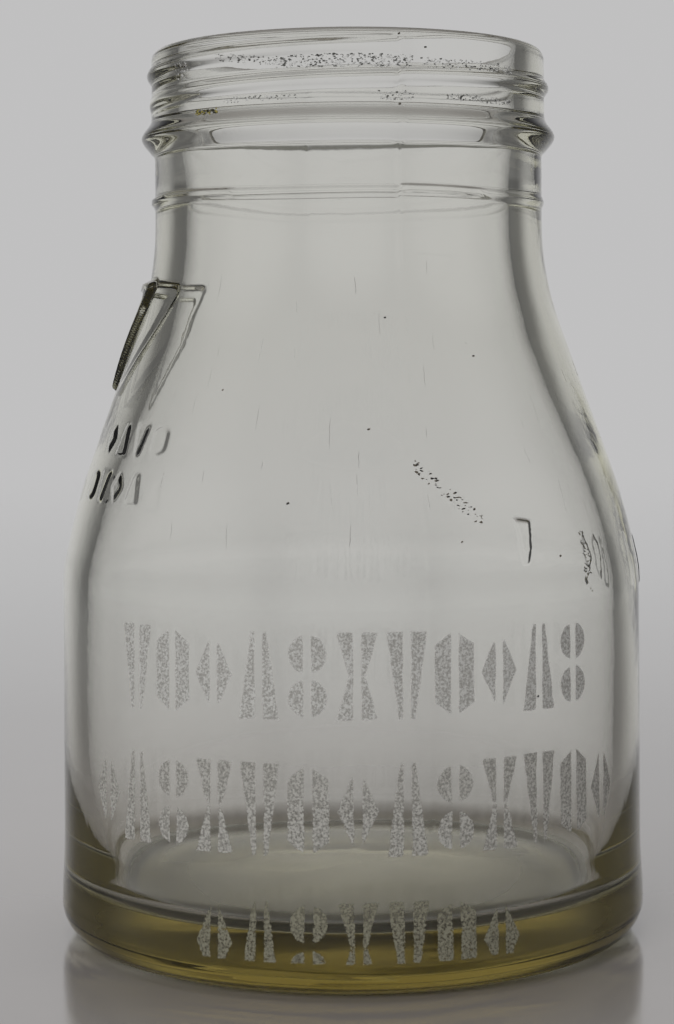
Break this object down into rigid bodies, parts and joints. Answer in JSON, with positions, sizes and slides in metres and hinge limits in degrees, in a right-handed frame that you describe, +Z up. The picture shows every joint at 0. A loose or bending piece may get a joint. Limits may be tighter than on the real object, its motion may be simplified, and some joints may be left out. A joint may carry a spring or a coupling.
{
  "type": "wide-mouth glass bottle",
  "caption": "Squat clear glass bottle with a sloping shoulder, a wide threaded neck, a collar bead, a thick base, raised marks and frosted stencil rows.",
  "frame": {"origin": "on the surface the bottle stands on, under the middle of the base", "axes": "+Z up along the bottle's axis to the mouth; the middle of the frosted rows faces -Y; the shoulder emblem is towards -X"},
  "size_m": [0.0978, 0.0979, 0.1475],
  "materials": {
    "clear_glass": "clear, faintly straw-tinted pressed glass, fire-polished, with seeds and fine scratches",
    "frosted_glass": "sandblasted through a stencil to a grainy matt white"
  },
  "bodies": {
    "root": {"bottle": "clear_glass", "screw_thread": "clear_glass", "transfer_bead": "clear_glass", "neck_ring": "clear_glass", "mould_seam_front": "clear_glass", "mould_seam_back": "clear_glass", "shoulder_emblem": "clear_glass", "raised_marks_left_upper": "clear_glass", "raised_marks_left_lower": "clear_glass", "raised_marks_right": "clear_glass", "frosted_row_upper": "frosted_glass", "frosted_row_middle": "frosted_glass", "frosted_row_lower": "frosted_glass"}
  },
  "joints": []
}
